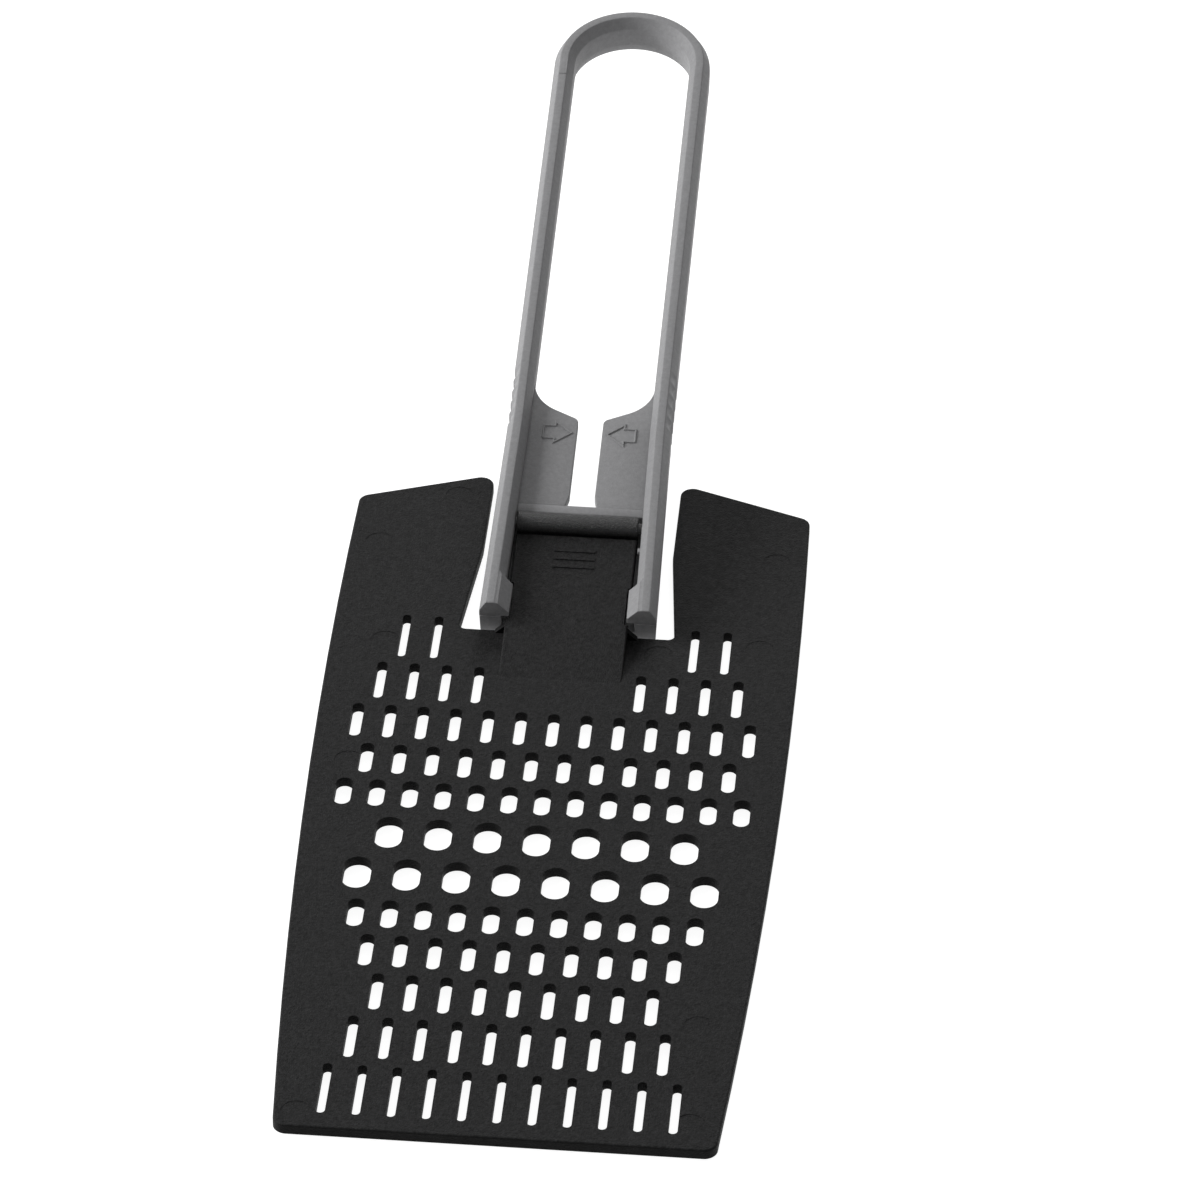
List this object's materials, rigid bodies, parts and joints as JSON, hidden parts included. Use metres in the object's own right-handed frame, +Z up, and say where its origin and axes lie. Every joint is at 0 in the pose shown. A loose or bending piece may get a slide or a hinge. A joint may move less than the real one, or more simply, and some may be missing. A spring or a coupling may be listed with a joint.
{
  "type": "folding hand sieve",
  "caption": "Flat perforated sifting plate with a raised tongue and a loop handle that snaps over the tongue and folds forward over the plate.",
  "frame": {"origin": "On the flat underside of the plate, below the middle of the line where the tongue rises out of the plate.", "axes": "+Z is up, out of the plate's top face; +Y runs along the tool from the plate to the handle; +X is to the right for a person who looks along +Y."},
  "size_m": [0.0798, 0.2847, 0.0342],
  "materials": {
    "plate_plastic": "matte black moulded plastic with a fine grain",
    "handle_plastic": "satin mid-grey moulded plastic"
  },
  "bodies": {
    "plate": {"sieve_plate": "plate_plastic", "tongue": "plate_plastic", "hinge_barrel": "plate_plastic"},
    "handle": {"handle_bow": "handle_plastic", "crossbar": "handle_plastic"},
    "left_squeeze": {"left_arm": "handle_plastic", "left_thumb_web": "handle_plastic"},
    "right_squeeze": {"right_arm": "handle_plastic", "right_thumb_web": "handle_plastic"}
  },
  "joints": [
    {"name": "handle_fold", "type": "hinge", "parent": "plate", "child": "handle", "pos_m": [0, 0.03614, 0.00817], "axis": [1, 0, 0], "range_deg": [0, 169]},
    {"name": "left_squeeze_flex", "type": "hinge", "parent": "handle", "child": "left_squeeze", "pos_m": [-0.0128, 0.03929, 0.00873], "axis": [0, 0.1736, -0.9848], "range_deg": [0, 2.2], "stiffness_Nm_per_rad": 1},
    {"name": "right_squeeze_flex", "type": "hinge", "parent": "handle", "child": "right_squeeze", "pos_m": [0.013, 0.03929, 0.00873], "axis": [0, -0.1736, 0.9848], "range_deg": [0, 2.2], "stiffness_Nm_per_rad": 1}
  ]
}
